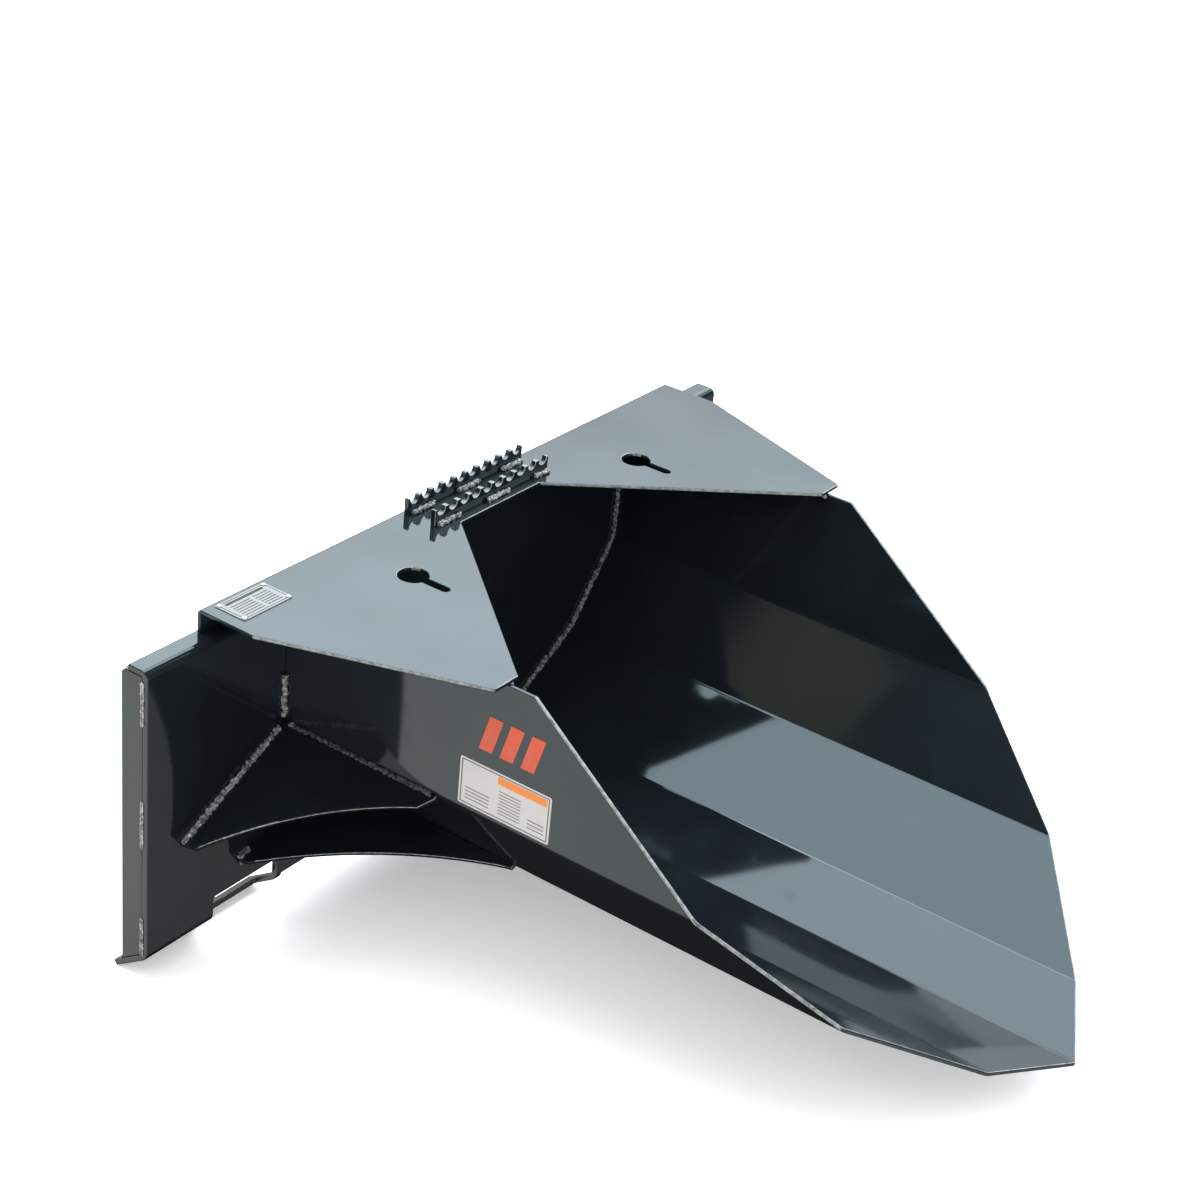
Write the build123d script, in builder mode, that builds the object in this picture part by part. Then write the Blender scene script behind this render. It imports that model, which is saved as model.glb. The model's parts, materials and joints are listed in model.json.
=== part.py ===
from build123d import *
import os
from math import cos, radians, sin, tan

os.makedirs("parts", exist_ok=True)

# Pointed spade bucket on a universal skid steer quick-attach plate. Millimetres.
# The origin is the centre of the attach plate's rear face. +Y points back to the carrier, the
# trough points to -Y, +Z is up, and X = 0 is the plane of symmetry.

# --- Quick-attach plate: one sheet, folded back at the top and at both bottom ends
attach_width = 1150.0
attach_height = 430.0
attach_t = 8.0
hook_reach = 23.0
hook_bend_r = 10.0
foot_bend_r = 14.0
foot_slope = 33.7
foot_reach = 51.0
foot_inner_x = 340.0
middle_bottom_z = -176.0
lip_top = attach_height / 2
foot_corner_z = -lip_top + foot_reach * tan(radians(foot_slope))
front_y = -attach_t

# Lock-pin slots, cut down through the fold into the foot
slot_inner_x = 351.0
slot_outer_x = 462.0
slot_top_z = -149.5
slot_end_y = 28.0
slot_corner_r = 5.0
slot_overrun = 10.0

# End plates that close the sides of the hook lip and the foot
end_plate_t = 8.0
end_plate_depth = 33.5
end_plate_chamfer = 5.0

# --- Sheet metal of the bucket
sheet_t = 5.0
gusset_t = 5.5

# Top plate, folded down at the rear on to the hook lip
deck_rise = 31.5
deck_top = lip_top + deck_rise
deck_under = deck_top - sheet_t
deck_rear_y = 18.0
deck_fold_r = 6.0
deck_half_width = 471.5
deck_shoulder_y = -68.0
wing_outer_x = 370.5
wing_inner_x = 329.0
wing_tip_y = -337.0
notch_half_width = 81.0
notch_y = -55.0
deck_corner_r = 4.0

# Keyholes for a chain link: a round entry and a narrow slot that runs forward
keyhole_x = 231.6
keyhole_y = -102.8
keyhole_r = 19.2
keyhole_slot_width = 12.0
keyhole_slot_end_y = -158.0

# Trough: upright walls, then three facets on each side down to the middle crease
trough_half_width = 341.4
wall_height = 185.7
facet_slopes = (52.9, 30.1, 11.2)
facet_widths = (142.5, 163.5)
crease_r = 12.0
wall_corner_r = 6.0

# How far each crease reaches forward, from the top of the wall to the tip
crease_reach = (374.0, 611.0, 767.0, 888.0, 947.0)

# Gussets between the trough's outside and the attach plate
# Root lines are (x, z). Outlines are (distance out from the root line, y): the heel is the width
# at the attach plate, the arc runs from heel to toe, and the inset is cut back to fit the trough.
upper_gusset_root = (346.4, 51.0)
upper_gusset_slope = 28.2
upper_gusset_inset = 5.0
upper_gusset_heel = 197.0
upper_gusset_arc = ((193.0, -29.0), (127.0, -85.0), (21.0, -236.0))
upper_gusset_toe = (3.0, -247.0)
lower_gusset_root = (261.0, -61.5)
lower_gusset_slope = 17.2
lower_gusset_inset = 7.0
lower_gusset_heel = 171.0
lower_gusset_arc = ((167.0, -24.0), (82.0, -132.0), (5.0, -297.0))
lower_gusset_toe = (3.0, -306.0)

# Serrated step bars
bar_length = 232.0
bar_t = 8.0
bar_height = 22.0
bar_front_faces = {"rear": 2.0, "front": -41.0}
gullet_count = 10
gullet_r = 7.8
gullet_mouth = 13.26
gullet_drop = 1.5

# Data plate, its rivets and the film decals
data_plate_size = (81.0, 47.5)
data_plate_t = 1.0
data_plate_x = -413.7
data_plate_y = -16.0
rivet_inset = 4.0
rivet_shank_r = 1.6
rivet_head_r = 3.0
rivet_head_h = 1.2
film_t = 0.3

# Decals, placed by (distance forward of the attach plate's rear face, z)
white_decal_middle = (344.5, 93.5)
white_decal_size = (131.0, 63.0)
white_decal_r = 3.0
stripe_count = 3
stripe_start = 303.0
stripe_pitch = 30.0
stripe_width = 19.0
stripe_lean = 13.0
stripe_bottom_z = 145.0
stripe_top_z = 192.0

# Weld beads
bead_leg = 6.0
bead_cap = 3.5
small_leg = 4.5
tack_rise = 1.2
inner_weld_top = 196.0
outer_weld_top = 118.5
outer_weld_bottom = 60.0
lower_under_root = 6.3
upper_joint_start = 9.0
upper_joint_length = 187.0
upper_crease_start = (-1.0, -18.0)
upper_crease_length = 222.0
lower_joint_start = 150.0
lower_joint_length = 20.0
lower_under_start = 169.0
lower_under_length = 160.0
lower_stitch_fronts = (-280.0, -130.0)
lower_stitch_length = 90.0
end_stitches = ((141.5, 200.5), (-24.5, 41.5), (-178.5, -123.5))
bar_stitches = {
    "rear": ((-111, -68), (-20, 23), (70, 112)),
    "front": ((-112, -70), (-14, 30), (86, 115)),
}
wing_stitches = ((-60, -120), (-180, -240), (-290, -337))
deck_stitch_middles = (-400, -200, 0, 200, 400)
deck_stitch_length = 80.0


def save(piece, label):
    """Label a finished piece and write it as one STEP file."""
    piece.part.label = label
    export_step(piece.part, f"parts/{label}.step")


def save_pair(right, name):
    """Write the right-hand piece and its mirror image on the left."""
    save(right, f"right_{name}")
    with BuildPart() as left:
        mirror(right.part, about=Plane.YZ)
    save(left, f"left_{name}")


def bead(plane, length, leg=bead_leg, turn=90.0):
    """Add a straight weld bead.

    The plane's origin is the root of the joint, its x direction runs along one of the welded
    faces, and its normal runs along the joint. turn is the angle between the two faces.
    """
    cap = leg * bead_cap / bead_leg
    across = (cos(radians(turn)), sin(radians(turn)))
    with BuildSketch(plane) as section:
        with BuildLine():
            Polyline(
                (0, 0),
                (leg, 0),
                (leg + cap * across[0], cap * across[1]),
                (cap + leg * across[0], leg * across[1]),
                (leg * across[0], leg * across[1]),
                close=True,
            )
        make_face()
    extrude(section.sketch, amount=length)


# --- Quick-attach plate -----------------------------------------------------------------------

foot_dir = (cos(radians(foot_slope)), -sin(radians(foot_slope)))
foot_normal = (sin(radians(foot_slope)), cos(radians(foot_slope)))

with BuildPart() as pin_slot_tool:
    slot_width = slot_outer_x - slot_inner_x
    slot_end_z = foot_corner_z - (slot_end_y - front_y) * tan(radians(foot_slope))
    slot_low_z = slot_end_z - slot_overrun * foot_normal[1]
    with BuildSketch(Plane.YZ.offset(slot_inner_x)):
        with BuildLine():
            Polyline(
                (slot_end_y, slot_top_z),
                (slot_end_y, slot_end_z),
                (slot_end_y - slot_overrun * foot_normal[0], slot_low_z),
                (front_y - slot_overrun, slot_low_z),
                (front_y - slot_overrun, slot_top_z),
                close=True,
            )
        make_face()
    extrude(amount=slot_width)
    top_corners = edges().filter_by(Axis.Y).group_by(Axis.Z)[-1]
    fillet(top_corners, radius=slot_corner_r)
    mirror(about=Plane.YZ)

with BuildPart() as quick_attach_plate:
    with BuildSketch(Plane.YZ):
        with BuildLine():
            FilletPolyline(
                (hook_reach, lip_top),
                (front_y, lip_top),
                (front_y, foot_corner_z),
                (front_y + foot_reach, -lip_top),
                radius=(hook_bend_r, foot_bend_r),
            )
            offset(amount=attach_t, side=Side.LEFT)
        make_face()
    extrude(amount=attach_width / 2, both=True)
    with BuildSketch(Plane.XZ.offset(-attach_width)):
        with Locations((0, middle_bottom_z)):
            Rectangle(2 * foot_inner_x, lip_top, align=(Align.CENTER, Align.MAX))
    extrude(amount=2 * attach_width, mode=Mode.SUBTRACT)
    add(pin_slot_tool.part, mode=Mode.SUBTRACT)
save(quick_attach_plate, "quick_attach_plate")

with BuildPart() as end_plate:
    end_x = attach_width / 2
    lip_under = lip_top - attach_t
    foot_top_z = foot_corner_z + attach_t / foot_normal[1]
    rear_foot_z = foot_top_z - (end_plate_depth - front_y) * tan(radians(foot_slope))
    inner_foot_z = foot_top_z + front_y * tan(radians(foot_slope))
    with BuildSketch(Plane.YZ.offset(end_x)):
        with BuildLine():
            Polyline(
                (0, lip_under),
                (end_plate_depth - end_plate_chamfer, lip_under),
                (end_plate_depth, lip_under - end_plate_chamfer),
                (end_plate_depth, rear_foot_z),
                (0, inner_foot_z),
                close=True,
            )
        make_face()
    extrude(amount=-end_plate_t)
    add(quick_attach_plate.part, mode=Mode.SUBTRACT)
save_pair(end_plate, "end_plate")

# --- Top plate --------------------------------------------------------------------------------

rivet_spots = [
    (data_plate_x + side * (data_plate_size[0] / 2 - rivet_inset), data_plate_y + end)
    for side in (-1, 1)
    for end in (rivet_inset - data_plate_size[1] / 2, data_plate_size[1] / 2 - rivet_inset)
]

with BuildPart() as top_plate:
    with BuildSketch(Plane.YZ):
        with BuildLine():
            FilletPolyline(
                (wing_tip_y - 10, deck_top),
                (deck_rear_y, deck_top),
                (deck_rear_y, lip_top),
                radius=deck_fold_r,
            )
            offset(amount=sheet_t, side=Side.RIGHT)
        make_face()
    extrude(amount=deck_half_width, both=True)
    with BuildSketch(Plane.XY.offset(lip_top)):
        with BuildLine():
            Polyline(
                (0, deck_rear_y),
                (deck_half_width, deck_rear_y),
                (deck_half_width, deck_shoulder_y),
                (wing_outer_x, wing_tip_y),
                (wing_inner_x, wing_tip_y),
                (notch_half_width, notch_y),
                (0, notch_y),
            )
            mirror(about=Plane.YZ)
        make_face()
        outline_corners = vertices().group_by(Axis.Y)[:-1]
        fillet([corner for row in outline_corners for corner in row], radius=deck_corner_r)
    extrude(amount=deck_rise, mode=Mode.INTERSECT)
    with BuildSketch(Plane.XY.offset(deck_top)):
        with Locations((-keyhole_x, keyhole_y), (keyhole_x, keyhole_y)):
            Circle(keyhole_r)
        slot_mid_y = (keyhole_y + keyhole_slot_end_y) / 2
        with Locations((-keyhole_x, slot_mid_y), (keyhole_x, slot_mid_y)):
            slot_length = keyhole_y - keyhole_slot_end_y
            SlotOverall(slot_length, keyhole_slot_width, rotation=90)
            Rectangle(keyhole_slot_width, slot_length / 2, align=(Align.CENTER, Align.MIN))
        with Locations(*rivet_spots):
            Circle(rivet_shank_r)
    extrude(amount=-sheet_t, mode=Mode.SUBTRACT)
save(top_plate, "top_plate")

# --- Trough -----------------------------------------------------------------------------------


def half_section():
    """Inner corners of the trough's section, from the top of the +X wall to the middle."""
    corners = [(trough_half_width, deck_under)]
    corners.append((trough_half_width, deck_under - wall_height))
    for slope, width in zip(facet_slopes, facet_widths):
        x, z = corners[-1]
        corners.append((x - width * cos(radians(slope)), z - width * sin(radians(slope))))
    x, z = corners[-1]
    corners.append((0, z - x * tan(radians(facet_slopes[-1]))))
    return corners


right_half = half_section()
whole_section = right_half + [(-x, z) for x, z in reversed(right_half[:-1])]

with BuildLine(Plane.XZ.offset(attach_t)) as trough_section:
    FilletPolyline(*whole_section, radius=crease_r)

with BuildPart() as nose_tool:
    tip = crease_reach[-1]
    with BuildSketch(Plane.YZ):
        with BuildLine():
            Polyline(
                (-crease_reach[0], deck_top),
                *[(-reach, z) for reach, (x, z) in zip(crease_reach, right_half)],
                (-tip, right_half[-1][1] - 100),
                (-tip - 100, right_half[-1][1] - 100),
                (-tip - 100, deck_top),
                close=True,
            )
        make_face()
    extrude(amount=attach_width / 2, both=True)

with BuildPart() as trough:
    inner_skin = Shell.extrude(trough_section.wire(), Vector(0, -crease_reach[-1], 0))
    add(Solid.thicken(inner_skin.cut(nose_tool.part), sheet_t))
    wall_corners = edges().filter_by(Axis.X).group_by(Axis.Z)[-1].group_by(Axis.Y)[0]
    fillet(wall_corners, radius=wall_corner_r)
save(trough, "trough")

# --- Gussets ----------------------------------------------------------------------------------


def sloping_plane(root, slope):
    """Plane that leaves the trough at a root line and falls outward; local y is row Y."""
    fall = radians(slope)
    return Plane(
        origin=(root[0], 0, root[1]),
        x_dir=(cos(fall), 0, -sin(fall)),
        z_dir=(sin(fall), 0, cos(fall)),
    )


upper_plane = sloping_plane(upper_gusset_root, upper_gusset_slope)
lower_plane = sloping_plane(lower_gusset_root, lower_gusset_slope)


def gusset(plane, inset, heel, arc, toe):
    """A curved gusset in a sloping plane, cut to the trough's outside."""
    with BuildPart() as plate:
        with BuildSketch(plane):
            with BuildLine():
                Polyline(
                    arc[0], (heel, front_y), (-inset, front_y), (-inset, toe[1]), toe, arc[-1]
                )
                ThreePointArc(*reversed(arc))
            make_face()
        extrude(amount=-gusset_t)
        add(trough.part, mode=Mode.SUBTRACT)
    return plate


upper_gusset = gusset(
    upper_plane,
    upper_gusset_inset,
    upper_gusset_heel,
    upper_gusset_arc,
    upper_gusset_toe,
)
save_pair(upper_gusset, "upper_gusset")

lower_gusset = gusset(
    lower_plane,
    lower_gusset_inset,
    lower_gusset_heel,
    lower_gusset_arc,
    lower_gusset_toe,
)
save_pair(lower_gusset, "lower_gusset")

# --- Step bars --------------------------------------------------------------------------------

bar_pitch = bar_length / gullet_count

for name, bar_front in bar_front_faces.items():
    with BuildPart() as step_bar:
        with BuildSketch(Plane.XZ.offset(-bar_front)):
            with Locations((0, deck_top)):
                Rectangle(bar_length, bar_height, align=(Align.CENTER, Align.MIN))
            with Locations((0, deck_top + bar_height - gullet_drop)):
                with GridLocations(bar_pitch, 0, gullet_count, 1):
                    Circle(gullet_r, mode=Mode.SUBTRACT)
                    Rectangle(
                        gullet_mouth,
                        2 * gullet_drop,
                        align=(Align.CENTER, Align.MIN),
                        mode=Mode.SUBTRACT,
                    )
        extrude(amount=-bar_t)
    save(step_bar, f"{name}_step_bar")

# --- Data plate, rivets and decals ------------------------------------------------------------

with BuildPart() as data_plate:
    with BuildSketch(Plane.XY.offset(deck_top)):
        with Locations((data_plate_x, data_plate_y)):
            RectangleRounded(*data_plate_size, radius=2)
        with Locations(*rivet_spots):
            Circle(rivet_shank_r, mode=Mode.SUBTRACT)
    extrude(amount=data_plate_t)
save(data_plate, "data_plate")

with BuildPart() as data_plate_rivets:
    plate_top = deck_top + data_plate_t
    with BuildSketch(Plane.XY.offset(deck_under)):
        with Locations(*rivet_spots):
            Circle(rivet_shank_r)
    extrude(amount=sheet_t + data_plate_t)
    with BuildSketch(Plane.XY.offset(plate_top)):
        with Locations(*rivet_spots):
            Circle(rivet_head_r)
    extrude(amount=rivet_head_h)
    fillet(edges().group_by(Axis.Z)[-1], radius=rivet_head_h * 0.7)
save(data_plate_rivets, "data_plate_rivets")

wall_out_x = trough_half_width + sheet_t
film_plane = Plane(origin=(-wall_out_x, 0, 0), x_dir=(0, -1, 0), z_dir=(-1, 0, 0))

with BuildPart() as left_white_decal:
    with BuildSketch(film_plane):
        with Locations(white_decal_middle):
            RectangleRounded(*white_decal_size, radius=white_decal_r)
    extrude(amount=film_t)
save(left_white_decal, "left_white_decal")

with BuildPart() as left_stripe_decal:
    with BuildSketch(film_plane):
        for number in range(stripe_count):
            start = stripe_start + number * stripe_pitch
            with BuildLine():
                Polyline(
                    (start, stripe_bottom_z),
                    (start + stripe_width, stripe_bottom_z),
                    (start + stripe_width + stripe_lean, stripe_top_z),
                    (start + stripe_lean, stripe_top_z),
                    close=True,
                )
            make_face()
    extrude(amount=film_t)
save(left_stripe_decal, "left_stripe_decal")

# --- Welds ------------------------------------------------------------------------------------

with BuildPart() as trough_inner_weld:
    below_hook = [(x, min(z, inner_weld_top)) for x, z in whole_section]
    with BuildSketch(Plane.XZ.offset(attach_t)):
        with BuildLine():
            inner_root = FilletPolyline(*below_hook, radius=crease_r)
            offset(amount=bead_leg, side=Side.RIGHT)
        make_face()
    extrude(amount=bead_leg)
    front_edges = faces().sort_by(Axis.Y)[0].edges()
    free_edges = [
        edge for edge in front_edges if inner_root.distance_to(edge @ 0.5) > 1.2 * bead_leg
    ]
    chamfer(free_edges, length=bead_leg - bead_cap)
save(trough_inner_weld, "trough_inner_weld")

with BuildPart() as trough_outer_weld:
    wall_foot = Plane(
        origin=(wall_out_x, front_y, outer_weld_top),
        x_dir=(1, 0, 0),
        z_dir=(0, 0, -1),
    )
    bead(wall_foot, outer_weld_top - outer_weld_bottom)
save_pair(trough_outer_weld, "trough_outer_weld")


def gusset_joint(plane, along):
    """Plane at a gusset's joint with the attach plate, along millimetres out from its root."""
    root = plane.from_local_coords((along, front_y, 0))
    return Plane(origin=root, x_dir=plane.z_dir, z_dir=plane.x_dir)


with BuildPart() as upper_gusset_weld:
    bead(gusset_joint(upper_plane, upper_joint_start), upper_joint_length)
    crease_root = upper_plane.from_local_coords((*upper_crease_start, 0))
    crease_joint = Plane(origin=crease_root, x_dir=upper_plane.x_dir, z_dir=(0, -1, 0))
    bead(crease_joint, upper_crease_length, leg=small_leg, turn=90 + upper_gusset_slope)
    add(trough.part, mode=Mode.SUBTRACT)
save_pair(upper_gusset_weld, "upper_gusset_weld")

with BuildPart() as lower_gusset_weld:
    bead(gusset_joint(lower_plane, lower_joint_start), lower_joint_length)
    under_side = lower_plane.offset(-gusset_t)
    under_end = under_side.from_local_coords((lower_under_start, front_y, 0))
    under_plate = Plane(origin=under_end, x_dir=-lower_plane.z_dir, z_dir=-lower_plane.x_dir)
    bead(under_plate, lower_under_length)
    facet_turn = 180 - facet_slopes[1] - lower_gusset_slope
    for stitch_front in lower_stitch_fronts:
        root = under_side.from_local_coords((-lower_under_root, stitch_front, 0))
        under_facet = Plane(origin=root, x_dir=lower_plane.x_dir, z_dir=(0, 1, 0))
        bead(under_facet, lower_stitch_length, leg=small_leg, turn=facet_turn)
    add(trough.part, mode=Mode.SUBTRACT)
    add(lower_gusset.part, mode=Mode.SUBTRACT)
save_pair(lower_gusset_weld, "lower_gusset_weld")

with BuildPart() as end_plate_weld:
    for low, high in end_stitches:
        with BuildSketch(Plane.YZ.offset(end_x)):
            with Locations((0, (low + high) / 2)):
                SlotOverall(high - low, bead_leg, rotation=90)
        extrude(amount=tack_rise)
    fillet(faces().group_by(Axis.X)[-1].edges(), radius=tack_rise * 0.7)
    lip_corner = Plane(
        origin=(end_x - end_plate_t, hook_reach, lip_under),
        x_dir=(0, 1, 0),
        z_dir=(1, 0, 0),
    )
    bead(lip_corner, end_plate_t, leg=small_leg)
    foot_corner = Plane(
        origin=(end_x - end_plate_t, end_plate_depth, rear_foot_z),
        x_dir=(0, foot_dir[0], foot_dir[1]),
        z_dir=(1, 0, 0),
    )
    bead(foot_corner, end_plate_t, leg=small_leg, turn=90 + foot_slope)
save_pair(end_plate_weld, "end_plate_weld")

for name, bar_front in bar_front_faces.items():
    with BuildPart() as step_bar_weld:
        for low, high in bar_stitches[name]:
            bar_foot = Plane(
                origin=(high, bar_front, deck_top),
                x_dir=(0, -1, 0),
                z_dir=(-1, 0, 0),
            )
            bead(bar_foot, high - low)
    save(step_bar_weld, f"{name}_step_bar_weld")

with BuildPart() as wing_weld:
    for rear, front in wing_stitches:
        wall_head = Plane(
            origin=(trough_half_width, rear, deck_under),
            x_dir=(-1, 0, 0),
            z_dir=(0, -1, 0),
        )
        bead(wall_head, rear - front)
save_pair(wing_weld, "wing_weld")

with BuildPart() as deck_flange_weld:
    for middle in deck_stitch_middles:
        flange_foot = Plane(
            origin=(middle - deck_stitch_length / 2, deck_rear_y, lip_top),
            x_dir=(0, 1, 0),
            z_dir=(1, 0, 0),
        )
        bead(flange_foot, deck_stitch_length, leg=small_leg)
save(deck_flange_weld, "deck_flange_weld")
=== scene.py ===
import json
import math

import bpy
from mathutils import Matrix, Vector, noise


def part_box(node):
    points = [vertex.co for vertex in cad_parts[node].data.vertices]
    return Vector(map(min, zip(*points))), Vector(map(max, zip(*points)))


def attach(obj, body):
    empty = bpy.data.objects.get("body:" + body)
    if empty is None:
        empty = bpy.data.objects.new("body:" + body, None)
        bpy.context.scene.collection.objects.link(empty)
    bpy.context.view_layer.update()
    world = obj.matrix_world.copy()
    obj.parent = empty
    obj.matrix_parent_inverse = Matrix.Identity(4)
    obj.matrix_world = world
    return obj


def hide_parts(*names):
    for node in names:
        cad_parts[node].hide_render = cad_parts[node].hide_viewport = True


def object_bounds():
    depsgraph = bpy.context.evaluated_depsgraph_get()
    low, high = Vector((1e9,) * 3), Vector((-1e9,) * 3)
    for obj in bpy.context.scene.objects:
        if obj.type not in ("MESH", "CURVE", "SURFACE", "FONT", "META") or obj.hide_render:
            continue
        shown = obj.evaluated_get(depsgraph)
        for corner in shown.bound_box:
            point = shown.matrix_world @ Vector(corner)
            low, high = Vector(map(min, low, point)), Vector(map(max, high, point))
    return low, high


# Looks of the pointed spade bucket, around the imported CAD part. Metres, row frame.

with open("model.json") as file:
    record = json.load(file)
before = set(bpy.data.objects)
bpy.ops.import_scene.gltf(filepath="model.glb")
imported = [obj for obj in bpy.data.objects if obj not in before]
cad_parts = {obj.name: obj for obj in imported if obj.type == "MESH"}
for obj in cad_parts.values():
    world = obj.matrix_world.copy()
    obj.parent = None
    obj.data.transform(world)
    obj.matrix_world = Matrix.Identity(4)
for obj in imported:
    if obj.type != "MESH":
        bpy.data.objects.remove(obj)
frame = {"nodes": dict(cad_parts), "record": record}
cad_low, cad_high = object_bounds()
scene = bpy.context.scene

# --- Named sizes, lights and camera -----------------------------------------------------------

EDGE_BEVEL = 0.0013
EDGE_ANGLE = math.radians(28)
COPLANAR_ANGLE = math.radians(0.6)
MERGE_DISTANCE = 0.00002
EDGE_WEAR_AND_HIGHLIGHT_RADIUS = 0.0024
BAR_SOLID_HEIGHT = 0.007
CUT_AND_HIGHLIGHT_REAR = -0.03

# A weld is painted over only where it is both ahead of Y and below Z. Each has a short fade.
BEAD_PAINT_Y = (-0.030, -0.018)
BEAD_PAINT_Z = (0.06, 0.08)

BEAD_VOXEL = 0.0008
BEAD_KNOB = 0.0058
BEAD_KNOB_LEVEL = 0.42
BEAD_KNOB_HEIGHT = 0.0030
SLIM_KNOB_HEIGHT = 0.0012
BEAD_GRAIN = 0.0016
BEAD_GRAIN_HEIGHT = 0.00050

FLOOR_HALF = 40.0
FLOOR_GAP = 0.0005
FLOOR_WHITE = 0.92
FLOOR_GLOW = 0.32

# The fill sun's energy, its disc's angle, and its direction in degrees.
FILL_ENERGY = 4.4
FILL_SPREAD = math.radians(150)
FILL_AZIMUTH = -150
FILL_ELEVATION = 78

# Strengths of the world below and above the horizon. BELOW_STRAIGHT_DOWN and
# PANEL_AT_HORIZON are factors on them.
BELOW_LEFT = 1.75
BELOW_RIGHT = 0.40
BELOW_STRAIGHT_DOWN = 0.02
PANEL_LOW = 1.75
PANEL_HIGH = 4.6
PANEL_AT_HORIZON = 0.3
DOME_BASE = 0.06

# Where the world changes: the panel's azimuth in degrees, then bands of a unit direction. They
# are bands of x for ACROSS, of the cosine from that azimuth for SPREAD, and of z for the rest.
PANEL_AZIMUTH = 50
BELOW_ACROSS = (-0.2, 0.6)
BELOW_STEEP = (-0.78, -0.58)
PANEL_SPREAD = (0.42, 0.66)
PANEL_FOOT = (0.05, 0.30)
PANEL_RISE = (0.37, 0.50)
PANEL_END = (0.66, 0.80)

# Fitted to the photograph: place in metres, directions, lens in millimetres, and shift.
CAMERA_PLACE = Vector((-2.18775, -1.64597, 1.58734))
CAMERA_RIGHT = Vector((0.5888, -0.8034, 0.0885))
CAMERA_FORWARD = Vector((0.7396, 0.4914, -0.4599))
CAMERA_LENS = 70.99
CAMERA_SHIFT = (0.0112, -0.0405)

# The sensor's width in millimetres, for that lens, and how far the camera sees.
CAMERA_SENSOR = 36.0
CAMERA_REACH = 200.0

# --- Named textures ---------------------------------------------------------------------------

# Scales of clouds, in features per metre.
TONE_SCALE = 3.5
WAVE_SCALE = 4.0
HANDLED_SCALE = 14.0
EDGE_WEAR_AND_HIGHLIGHT_SCALE = 95.0
CUT_AND_HIGHLIGHT_SCALE = 160.0
PEEL_SCALE = 420.0
SPECK_SCALE = 620.0
BEAD_PATCH_SCALE = 190.0
BEAD_GRAIN_SCALE = 900.0
BRUSH_SCALE = (30.0, 1400.0, 30.0)
GRIME_SCALE = 70.0
RIVET_SCALE = 500.0
ORANGE_SCALE = 25.0
SOIL_SCALE = 45.0
FILM_SCALE = 260.0

# Depths of bumps.
WAVE_DEPTH = 0.0022
PEEL_DEPTH = 0.000008
BEAD_GRAIN_DEPTH = 0.00015
BRUSH_DEPTH = 0.00004
RIVET_DEPTH = 0.00005
FILM_DEPTH = 0.00004

# --- Named colours ----------------------------------------------------------------------------

PAINT_DEEP = (0.0058, 0.0078, 0.0100, 1)
PAINT_PALE = (0.0105, 0.0145, 0.0185, 1)
PAINT_SPECK = (0.030, 0.036, 0.040, 1)
PAINT_TINT = (0.745, 0.92, 1.0, 1)
# Worn edges, lighter partly as a painted highlight.
EDGE_WEAR_AND_HIGHLIGHT = (0.17, 0.185, 0.19, 1)
# Cut faces, bare steel and partly a painted highlight.
CUT_STEEL_AND_HIGHLIGHT = (0.27, 0.285, 0.285, 1)
BEAD_PAINTED = (0.014, 0.017, 0.019, 1)
# Weld crests, bare metal and partly a painted highlight.
BEAD_BARE_AND_HIGHLIGHT = (0.60, 0.62, 0.63, 1)
PLATE_DULL = (0.185, 0.191, 0.195, 1)
PLATE_BRIGHT = (0.253, 0.259, 0.263, 1)
PLATE_GRIME = (0.15, 0.15, 0.146, 1)
PLATE_INK = (0.012, 0.013, 0.014, 1)
RIVET_DULL = (0.40, 0.41, 0.42, 1)
RIVET_BRIGHT = (0.72, 0.73, 0.74, 1)
FILM_SOIL = (0.30, 0.30, 0.29, 1)
CARD_WHITE = (0.485, 0.495, 0.505, 1)
CARD_INK = (0.10, 0.10, 0.11, 1)
CARD_BAND = (0.68, 0.20, 0.022, 1)
ORANGE_DEEP = (0.50, 0.048, 0.012, 1)
ORANGE_PALE = (0.60, 0.066, 0.018, 1)
SKY_TONE = (0.86, 0.94, 1.0, 1)
BELOW_TONE = (1.0, 0.94, 0.86, 1)
LAMP_COOL = (0.88, 0.96, 1.0)
LAMP_WARM = (1.0, 0.84, 0.48)

# --- Node helpers -----------------------------------------------------------------------------


def feed(tree, socket, value):
    """Link a socket, or set a plain value, on an input."""
    if isinstance(value, bpy.types.NodeSocket):
        tree.links.new(value, socket)
    else:
        socket.default_value = value


def add(tree, kind, inputs=None, **settings):
    """Add a shader node with its settings and its inputs."""
    made = tree.nodes.new("ShaderNode" + kind)
    for name, value in settings.items():
        setattr(made, name, value)
    for key, value in (inputs or {}).items():
        feed(tree, made.inputs[key], value)
    return made


def calc(tree, operation, first, second=0.0, third=0.0, clamp=False):
    """A Math node's result."""
    made = add(tree, "Math", {0: first, 1: second, 2: third}, operation=operation)
    made.use_clamp = clamp
    return made.outputs[0]


def blend_colour(tree, factor, first, second):
    """Mix two colours."""
    made = add(tree, "Mix", data_type="RGBA")
    feed(tree, made.inputs[0], factor)
    feed(tree, made.inputs[6], first)
    feed(tree, made.inputs[7], second)
    return made.outputs[2]


def remap(tree, value, low, high, to_low, to_high):
    """Clamped map from one range to another."""
    names = ("Value", "From Min", "From Max", "To Min", "To Max")
    made = add(tree, "MapRange", dict(zip(names, (value, low, high, to_low, to_high))))
    return made.outputs[0]


def cloud(tree, vector, scale, detail, roughness=0.5):
    """Noise at a scale in features per metre."""
    inputs = {"Vector": vector, "Scale": scale, "Detail": detail, "Roughness": roughness}
    return add(tree, "TexNoise", inputs).outputs[0]


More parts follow.
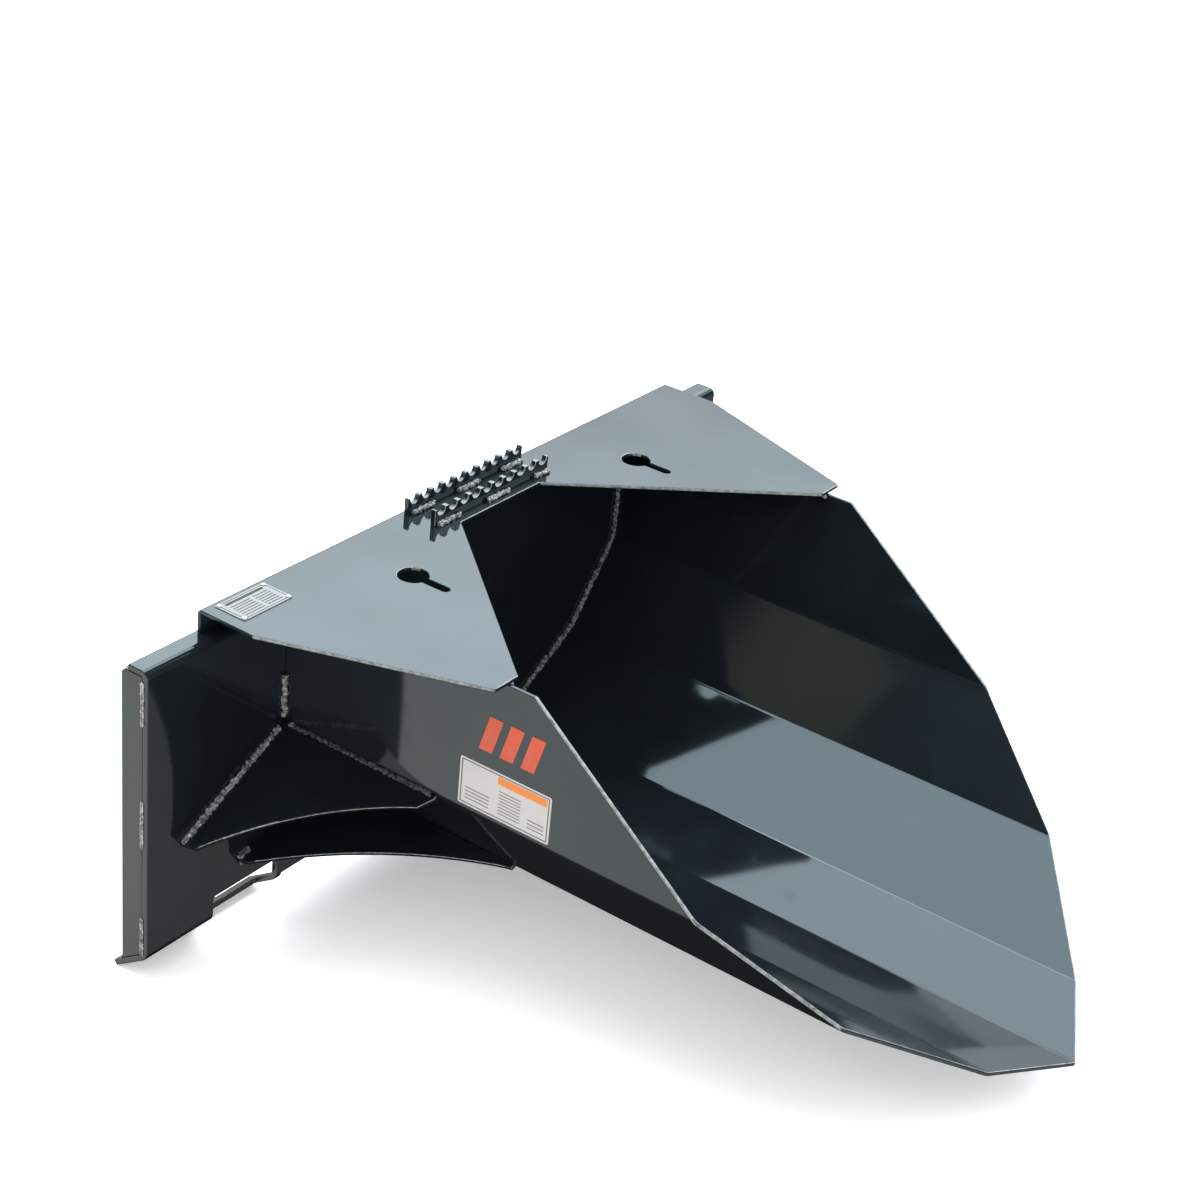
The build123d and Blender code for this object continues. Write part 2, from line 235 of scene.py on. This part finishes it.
def start(slot_name):
    """A new material, its tree, its shader and the row-frame coordinate."""
    made = bpy.data.materials.new(slot_name)
    made.use_nodes = True
    tree = made.node_tree
    place = add(tree, "TexCoord").outputs["Object"]
    return made, tree, tree.nodes["Principled BSDF"], place


def bump(tree, height, distance, onto=None):
    """A bump, on top of another normal if one is given."""
    inputs = {"Height": height, "Distance": distance, "Strength": 1.0}
    if onto is not None:
        inputs["Normal"] = onto
    return add(tree, "Bump", inputs).outputs[0]


def edge_mask(tree, radius):
    """1 on convex and concave edges, 0 on flats."""
    rounded = add(tree, "Bevel", {"Radius": radius}, samples=6).outputs[0]
    true = add(tree, "NewGeometry").outputs["Normal"]
    dot = add(tree, "VectorMath", {0: rounded, 1: true}, operation="DOT_PRODUCT")
    return remap(tree, dot.outputs["Value"], 0.97, 0.80, 0.0, 1.0)


def within(tree, value, low, high):
    """1 between two bounds."""
    return calc(tree, "COMPARE", value, (low + high) / 2, (high - low) / 2)


def cut_and_highlight_mask(tree, place):
    """Up to 1 on cut faces, lightened as bare steel and as a painted highlight: raked front
    edges, wing and notch edges, step bar gullets.
    """
    facing = add(tree, "NewGeometry").outputs["True Normal"]
    facing = add(tree, "SeparateXYZ", {0: facing}).outputs
    parts = add(tree, "SeparateXYZ", {0: place}).outputs
    raked = within(tree, facing[1], -0.72, -0.26)
    raked = calc(tree, "MULTIPLY", raked, calc(tree, "GREATER_THAN", facing[2], -0.2))
    raked = calc(tree, "MULTIPLY", raked, calc(tree, "LESS_THAN", parts[1], CUT_AND_HIGHLIGHT_REAR))
    bar_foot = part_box("rear_step_bar")[0][2]
    gullet = calc(tree, "GREATER_THAN", parts[2], bar_foot + BAR_SOLID_HEIGHT)
    gullet = calc(tree, "MULTIPLY", gullet, within(tree, facing[1], -0.5, 0.5))
    scoop = remap(tree, facing[2], 0.45, 0.95, 0.0, 0.55)
    return calc(tree, "MAXIMUM", raked, calc(tree, "MULTIPLY", gullet, scoop))


# --- Materials --------------------------------------------------------------------------------


def black_paint():
    """Gloss powder coat, near black with a blue-green cast."""
    made, tree, shader, place = start("black_paint")
    broad = cloud(tree, place, TONE_SCALE, 4.0, 0.55)
    fine = cloud(tree, place, EDGE_WEAR_AND_HIGHLIGHT_SCALE, 5.0, 0.65)
    tone = remap(tree, broad, 0.32, 0.68, 0.0, 1.0)
    colour = blend_colour(tree, tone, PAINT_DEEP, PAINT_PALE)
    chips_and_highlight = remap(tree, fine, 0.42, 0.62, 0.1, 1)
    # Edges made lighter by a bevel mask: wear, plus a painted highlight for the light that
    # rounded edges catch.
    wear_and_highlight = calc(tree, "MULTIPLY", edge_mask(tree, EDGE_WEAR_AND_HIGHLIGHT_RADIUS), chips_and_highlight)
    colour = blend_colour(tree, wear_and_highlight, colour, EDGE_WEAR_AND_HIGHLIGHT)
    # Cut faces in lighter grey: bare steel, plus a painted highlight for the light caught along
    # the cut edges.
    cut_breakup = remap(tree, cloud(tree, place, CUT_AND_HIGHLIGHT_SCALE, 5.0, 0.7), 0.36, 0.60, 0.35, 1.0)
    cut_and_highlight = calc(tree, "MULTIPLY", cut_and_highlight_mask(tree, place), cut_breakup)
    colour = blend_colour(tree, cut_and_highlight, colour, CUT_STEEL_AND_HIGHLIGHT)
    speck = remap(tree, cloud(tree, place, SPECK_SCALE, 2.0), 0.70, 0.76, 0.0, 0.5)
    colour = blend_colour(tree, speck, colour, PAINT_SPECK)
    feed(tree, shader.inputs["Base Color"], colour)
    sheen = remap(tree, broad, 0.3, 0.7, 0.055, 0.09)
    handled = remap(tree, cloud(tree, place, HANDLED_SCALE, 6.0, 0.7), 0.56, 0.72, 0.0, 0.06)
    rough = calc(tree, "ADD", sheen, handled)
    edge_marks = calc(tree, "MAXIMUM", wear_and_highlight, cut_and_highlight)
    rough = calc(tree, "ADD", rough, calc(tree, "MULTIPLY", edge_marks, 0.22), clamp=True)
    feed(tree, shader.inputs["Roughness"], rough)
    shader.inputs["IOR"].default_value = 1.54
    shader.inputs["Specular Tint"].default_value = PAINT_TINT
    waves = bump(tree, cloud(tree, place, WAVE_SCALE, 1.0), WAVE_DEPTH)
    peel = bump(tree, cloud(tree, place, PEEL_SCALE, 2.0), PEEL_DEPTH, onto=waves)
    feed(tree, shader.inputs["Normal"], peel)
    return made


def weld_paint():
    """Knobbly bead, silver-grey on its crests as bare metal and as a painted highlight, dark in
    its hollows and where painted over.
    """
    made, tree, shader, place = start("weld_paint")
    # Crests made lighter by pointiness: bare metal, plus a painted highlight for the glints on
    # the knobs.
    crest_and_highlight = remap(tree, add(tree, "NewGeometry").outputs["Pointiness"], 0.44, 0.57, 0.0, 1.0)
    patch = remap(tree, cloud(tree, place, BEAD_PATCH_SCALE, 5.0, 0.65), 0.42, 0.60, 0.15, 1.0)
    parts = add(tree, "SeparateXYZ", {0: place}).outputs
    forward = remap(tree, parts[1], *BEAD_PAINT_Y, 1.0, 0.0)
    low_down = remap(tree, parts[2], *BEAD_PAINT_Z, 1.0, 0.0)
    painted = calc(tree, "MULTIPLY", forward, low_down)
    bare = calc(tree, "SUBTRACT", 1.0, calc(tree, "MULTIPLY", painted, 0.88))
    bare_and_highlight = calc(tree, "MULTIPLY", calc(tree, "MULTIPLY", crest_and_highlight, patch), bare)
    colour = blend_colour(tree, bare_and_highlight, BEAD_PAINTED, BEAD_BARE_AND_HIGHLIGHT)
    feed(tree, shader.inputs["Base Color"], colour)
    feed(tree, shader.inputs["Metallic"], calc(tree, "MULTIPLY", bare_and_highlight, 0.55))
    feed(tree, shader.inputs["Roughness"], remap(tree, patch, 0.15, 1.0, 0.20, 0.40))
    grain = bump(tree, cloud(tree, place, BEAD_GRAIN_SCALE, 3.0), BEAD_GRAIN_DEPTH)
    feed(tree, shader.inputs["Normal"], grain)
    return made


def on_panel(tree, place, node_name, across, up, flip=False):
    """Coordinates from 0 to 1 over a flat node, along two of its axes."""
    low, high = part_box(node_name)
    parts = add(tree, "SeparateXYZ", {0: place}).outputs
    along = remap(tree, parts[across], low[across], high[across], 0.0, 1.0)
    if flip:
        along = calc(tree, "SUBTRACT", 1.0, along)
    return along, remap(tree, parts[up], low[up], high[up], 0.0, 1.0)


def patch_mask(tree, u, v, u_span, v_span):
    """1 inside a rectangle of panel coordinates."""
    return calc(tree, "MULTIPLY", within(tree, u, *u_span), within(tree, v, *v_span))


def ruled_mask(tree, u, v, u_span, v_span, rows, weight):
    """Plain ruled lines inside a rectangle of panel coordinates."""
    height = v_span[1] - v_span[0]
    step = calc(tree, "MULTIPLY", calc(tree, "SUBTRACT", v, v_span[0]), rows / height)
    line = calc(tree, "COMPARE", calc(tree, "FRACT", step), 0.5, weight / 2)
    return calc(tree, "MULTIPLY", line, patch_mask(tree, u, v, u_span, v_span))


def outline_mask(tree, u, v, outer, inner):
    """1 between two rectangles of panel coordinates, each a pair of spans."""
    around, inside = (patch_mask(tree, u, v, *spans) for spans in (outer, inner))
    return calc(tree, "SUBTRACT", around, inside)


def any_of(tree, masks):
    """The greatest of several masks."""
    total = masks[0]
    for mask in masks[1:]:
        total = calc(tree, "MAXIMUM", total, mask)
    return total


def data_plate_aluminium():
    """Satin aluminium with a printed frame and ruled lines, and no lettering."""
    made, tree, shader, place = start("data_plate_aluminium")
    u, v = on_panel(tree, place, "data_plate", 0, 1)
    outer, inner = ((0.03, 0.97), (0.05, 0.95)), ((0.045, 0.955), (0.075, 0.925))
    printed = any_of(
        tree,
        [
            outline_mask(tree, u, v, outer, inner),
            patch_mask(tree, u, v, (0.12, 0.88), (0.78, 0.88)),
            ruled_mask(tree, u, v, (0.12, 0.52), (0.12, 0.72), 6, 0.34),
            ruled_mask(tree, u, v, (0.58, 0.88), (0.12, 0.72), 6, 0.34),
        ],
    )
    stretch = add(tree, "Mapping", {"Vector": place, "Scale": BRUSH_SCALE}).outputs[0]
    brushed = cloud(tree, stretch, 1.0, 3.0)
    metal = blend_colour(tree, brushed, PLATE_DULL, PLATE_BRIGHT)
    grime = remap(tree, cloud(tree, place, GRIME_SCALE, 5.0), 0.5, 0.75, 0.0, 0.4)
    metal = blend_colour(tree, grime, metal, PLATE_GRIME)
    colour = blend_colour(tree, printed, metal, PLATE_INK)
    feed(tree, shader.inputs["Base Color"], colour)
    bare = calc(tree, "SUBTRACT", 1.0, printed)
    feed(tree, shader.inputs["Metallic"], calc(tree, "MULTIPLY", bare, 0.14))
    shader.inputs["Specular IOR Level"].default_value = 0.3
    feed(tree, shader.inputs["Roughness"], remap(tree, brushed, 0.3, 0.7, 0.42, 0.56))
    feed(tree, shader.inputs["Normal"], bump(tree, brushed, BRUSH_DEPTH))
    return made


def rivet_steel():
    """Bright rivet heads with duller spots."""
    made, tree, shader, place = start("rivet_steel")
    spots = cloud(tree, place, RIVET_SCALE, 4.0)
    colour = blend_colour(tree, spots, RIVET_DULL, RIVET_BRIGHT)
    feed(tree, shader.inputs["Base Color"], colour)
    shader.inputs["Metallic"].default_value = 1.0
    feed(tree, shader.inputs["Roughness"], remap(tree, spots, 0.3, 0.7, 0.22, 0.45))
    feed(tree, shader.inputs["Normal"], bump(tree, spots, RIVET_DEPTH))
    return made


def film(slot_name, colour_of, rough_low, rough_high):
    """Gloss film with faint soiling; colour_of gives its printed colour."""
    made, tree, shader, place = start(slot_name)
    soil = remap(tree, cloud(tree, place, SOIL_SCALE, 6.0, 0.65), 0.5, 0.8, 0.0, 0.18)
    printed = colour_of(tree, place)
    colour = blend_colour(tree, soil, printed, FILM_SOIL)
    feed(tree, shader.inputs["Base Color"], colour)
    feed(tree, shader.inputs["Roughness"], remap(tree, soil, 0.0, 0.18, rough_low, rough_high))
    ripple = bump(tree, cloud(tree, place, FILM_SCALE, 2.0), FILM_DEPTH)
    feed(tree, shader.inputs["Normal"], ripple)
    return made


def white_card(tree, place):
    """White card with a plain orange band and ruled lines."""
    u, v = on_panel(tree, place, "left_white_decal", 1, 2, flip=True)
    outer, inner = ((0.018, 0.982), (0.035, 0.965)), ((0.032, 0.968), (0.062, 0.938))
    lines = any_of(
        tree,
        [
            outline_mask(tree, u, v, outer, inner),
            ruled_mask(tree, u, v, (0.44, 0.68), (0.12, 0.66), 8, 0.30),
            ruled_mask(tree, u, v, (0.76, 0.94), (0.12, 0.36), 3, 0.30),
            ruled_mask(tree, u, v, (0.07, 0.34), (0.12, 0.42), 4, 0.30),
        ],
    )
    card = blend_colour(tree, lines, CARD_WHITE, CARD_INK)
    band = patch_mask(tree, u, v, (0.42, 0.955), (0.76, 0.925))
    return blend_colour(tree, band, card, CARD_BAND)


def orange_print(tree, place):
    """Orange film, a little uneven."""
    shade = cloud(tree, place, ORANGE_SCALE, 3.0)
    return blend_colour(tree, shade, ORANGE_DEEP, ORANGE_PALE)


materials = {
    "black_paint": black_paint(),
    "weld_paint": weld_paint(),
    "data_plate_aluminium": data_plate_aluminium(),
    "rivet_steel": rivet_steel(),
    "white_film": film("white_film", white_card, 0.16, 0.34),
    "orange_film": film("orange_film", orange_print, 0.18, 0.36),
}

slot_of = {part["node"]: part["material_slot"] for part in frame["record"]["subparts"]}

# --- Steelwork: rounded cut edges -------------------------------------------------------------


def soften(piece, width):
    """Round a CAD node's sharp edges without changing its own mesh."""
    piece.modifiers.new("merge", "WELD").merge_threshold = MERGE_DISTANCE
    flat = piece.modifiers.new("flat", "DECIMATE")
    flat.decimate_type = "DISSOLVE"
    flat.angle_limit = COPLANAR_ANGLE
    edge = piece.modifiers.new("edge", "BEVEL")
    edge.width = width
    edge.segments = 2
    edge.limit_method = "ANGLE"
    edge.angle_limit = EDGE_ANGLE
    edge.use_clamp_overlap = False
    edge.face_strength_mode = "FSTR_NEW"
    shade = piece.modifiers.new("shade", "WEIGHTED_NORMAL")
    shade.weight = 100
    shade.keep_sharp = False
    shade.use_face_influence = True


# --- Weld beads -------------------------------------------------------------------------------


def bead(source, height):
    """A knobbly bead mesh in place of a weld's plain prism."""
    body = bpy.data.objects.new(source.name + "_bead", source.data.copy())
    scene.collection.objects.link(body)
    body.modifiers.new("merge", "WELD").merge_threshold = MERGE_DISTANCE
    skin = body.modifiers.new("skin", "REMESH")
    skin.mode = "VOXEL"
    skin.voxel_size = BEAD_VOXEL
    skin.use_smooth_shade = True
    depsgraph = bpy.context.evaluated_depsgraph_get()
    dense = bpy.data.meshes.new_from_object(body.evaluated_get(depsgraph))
    body.modifiers.clear()
    body.data = dense
    moved = []
    for vertex in dense.vertices:
        near = noise.voronoi(vertex.co / BEAD_KNOB)[0][0]
        grain = noise.noise(vertex.co / BEAD_GRAIN)
        rise = (BEAD_KNOB_LEVEL - near) * height + grain * BEAD_GRAIN_HEIGHT
        moved.append(vertex.co + vertex.normal * rise)
    for vertex, place in zip(dense.vertices, moved):
        vertex.co = place
    dense.materials.clear()
    dense.materials.append(materials["weld_paint"])
    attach(body, "root")
    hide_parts(source.name)


for name, piece in frame["nodes"].items():
    if slot_of[name] == "weld_paint":
        bead(piece, SLIM_KNOB_HEIGHT if "end_plate" in name else BEAD_KNOB_HEIGHT)
        continue
    piece.data.materials.clear()
    piece.data.materials.append(materials[slot_of[name]])
    if slot_of[name] == "black_paint":
        soften(piece, EDGE_BEVEL)

# --- Floor, light and camera ------------------------------------------------------------------

floor_mesh = bpy.data.meshes.new("studio_floor")
corners = [(-1, -1), (1, -1), (1, 1), (-1, 1)]
floor_mesh.from_pydata(
    [(x * FLOOR_HALF, y * FLOOR_HALF, cad_low.z - FLOOR_GAP) for x, y in corners],
    [],
    [(0, 1, 2, 3)],
)
floor = bpy.data.objects.new("studio_floor", floor_mesh)
scene.collection.objects.link(floor)
floor_paint = bpy.data.materials.new("studio_floor")
floor_paint.use_nodes = True
floor_shader = floor_paint.node_tree.nodes["Principled BSDF"]
floor_shader.inputs["Base Color"].default_value = (FLOOR_WHITE, FLOOR_WHITE, FLOOR_WHITE, 1)
floor_shader.inputs["Roughness"].default_value = 0.9
floor_shader.inputs["Specular IOR Level"].default_value = 0.1
floor_shader.inputs["Emission Color"].default_value = (1.0, 1.0, 1.0, 1)
floor_shader.inputs["Emission Strength"].default_value = FLOOR_GLOW
floor_mesh.materials.append(floor_paint)
# Only the camera sees the floor, because its bounce on the dark paint rendered as a speckle.
# The world's lower half reflects in the paint and lights the undersides in its place.
floor.visible_glossy = False
floor.visible_diffuse = False
floor.visible_shadow = False

middle = (cad_low + cad_high) / 2


def heading(azimuth, elevation):
    """Direction to a light, in degrees: azimuth 0 is +Y and 90 is +X."""
    a, e = math.radians(azimuth), math.radians(elevation)
    return Vector((math.sin(a) * math.cos(e), math.cos(a) * math.cos(e), math.sin(e)))


def softbox(name, azimuth, elevation, distance, width, height, radiance, colour):
    """A rectangular soft light that faces the object."""
    lamp = bpy.data.lights.new(name, "AREA")
    lamp.shape = "RECTANGLE"
    lamp.size, lamp.size_y = width, height
    lamp.energy = radiance * math.pi * width * height
    lamp.color = colour
    held = bpy.data.objects.new(name, lamp)
    way = heading(azimuth, elevation)
    held.location = middle + way * distance
    held.rotation_mode = "QUATERNION"
    held.rotation_quaternion = way.to_track_quat("Z", "Y")
    scene.collection.objects.link(held)


# Name, azimuth and elevation in degrees, distance, width, height, radiance and colour.
softbox("top_box", -10, 68, 4.0, 3.2, 2.4, 5.0, LAMP_COOL)
softbox("high_back_box", 50, 64, 4.4, 2.4, 2.0, 5.2, LAMP_COOL)
softbox("rim_box", 114, 38, 4.5, 1.8, 1.4, 4.2, LAMP_COOL)
softbox("side_window", -56.5, 37.5, 5.0, 0.5, 0.75, 0.42, LAMP_WARM)

# A broad sun that lights surfaces and is not reflected in them.
fill = bpy.data.lights.new("floor_fill", "SUN")
fill.energy = FILL_ENERGY
fill.angle = FILL_SPREAD
fill_held = bpy.data.objects.new("floor_fill", fill)
fill_held.rotation_mode = "QUATERNION"
fill_held.rotation_quaternion = heading(FILL_AZIMUTH, FILL_ELEVATION).to_track_quat("Z", "Y")
fill_held.visible_glossy = False
scene.collection.objects.link(fill_held)

world = bpy.data.worlds.new("studio")
world.use_nodes = True
sky = world.node_tree
background = sky.nodes["Background"]
direction = add(sky, "TexCoord").outputs["Generated"]
toward = add(sky, "SeparateXYZ", {0: direction}).outputs

# Lower half: brighter to the left, dark straight down.
downward = calc(sky, "LESS_THAN", toward[2], 0.0)
glow = remap(sky, toward[0], *BELOW_ACROSS, BELOW_LEFT, BELOW_RIGHT)
steep = remap(sky, toward[2], *BELOW_STEEP, BELOW_STRAIGHT_DOWN, 1.0)
glow = calc(sky, "MULTIPLY", glow, steep)

# Upper half: a dim dome, and behind the object a panel that brightens with height and ends.
upward = calc(sky, "SUBTRACT", 1.0, downward)
panel_way = tuple(heading(PANEL_AZIMUTH, 0))
facing = add(sky, "VectorMath", {0: direction, 1: panel_way}, operation="DOT_PRODUCT")
behind = remap(sky, facing.outputs["Value"], *PANEL_SPREAD, 0.0, 1.0)
panel = remap(sky, toward[2], *PANEL_RISE, PANEL_LOW, PANEL_HIGH)
foot = remap(sky, toward[2], *PANEL_FOOT, PANEL_AT_HORIZON, 1.0)
panel = calc(sky, "MULTIPLY", panel, foot)
panel = calc(sky, "MULTIPLY", panel, remap(sky, toward[2], *PANEL_END, 1.0, 0.0))
dome = calc(sky, "MULTIPLY", upward, calc(sky, "MULTIPLY_ADD", behind, panel, DOME_BASE))

tone = blend_colour(sky, downward, SKY_TONE, BELOW_TONE)
feed(sky, background.inputs["Color"], tone)
feed(sky, background.inputs["Strength"], calc(sky, "MULTIPLY_ADD", downward, glow, dome))
scene.world = world
scene.view_settings.view_transform = "Standard"

camera = bpy.data.cameras.new("photo_camera")
camera.lens = CAMERA_LENS
camera.sensor_width = CAMERA_SENSOR
camera.shift_x, camera.shift_y = CAMERA_SHIFT
camera.clip_end = CAMERA_REACH
camera_held = bpy.data.objects.new("photo_camera", camera)
backward = -CAMERA_FORWARD.normalized()
right = (CAMERA_RIGHT - CAMERA_RIGHT.dot(backward) * backward).normalized()
turn = Matrix((right, backward.cross(right), backward)).transposed()
camera_held.rotation_mode = "QUATERNION"
camera_held.rotation_quaternion = turn.to_quaternion()
camera_held.location = CAMERA_PLACE
scene.collection.objects.link(camera_held)
scene.camera = camera_held
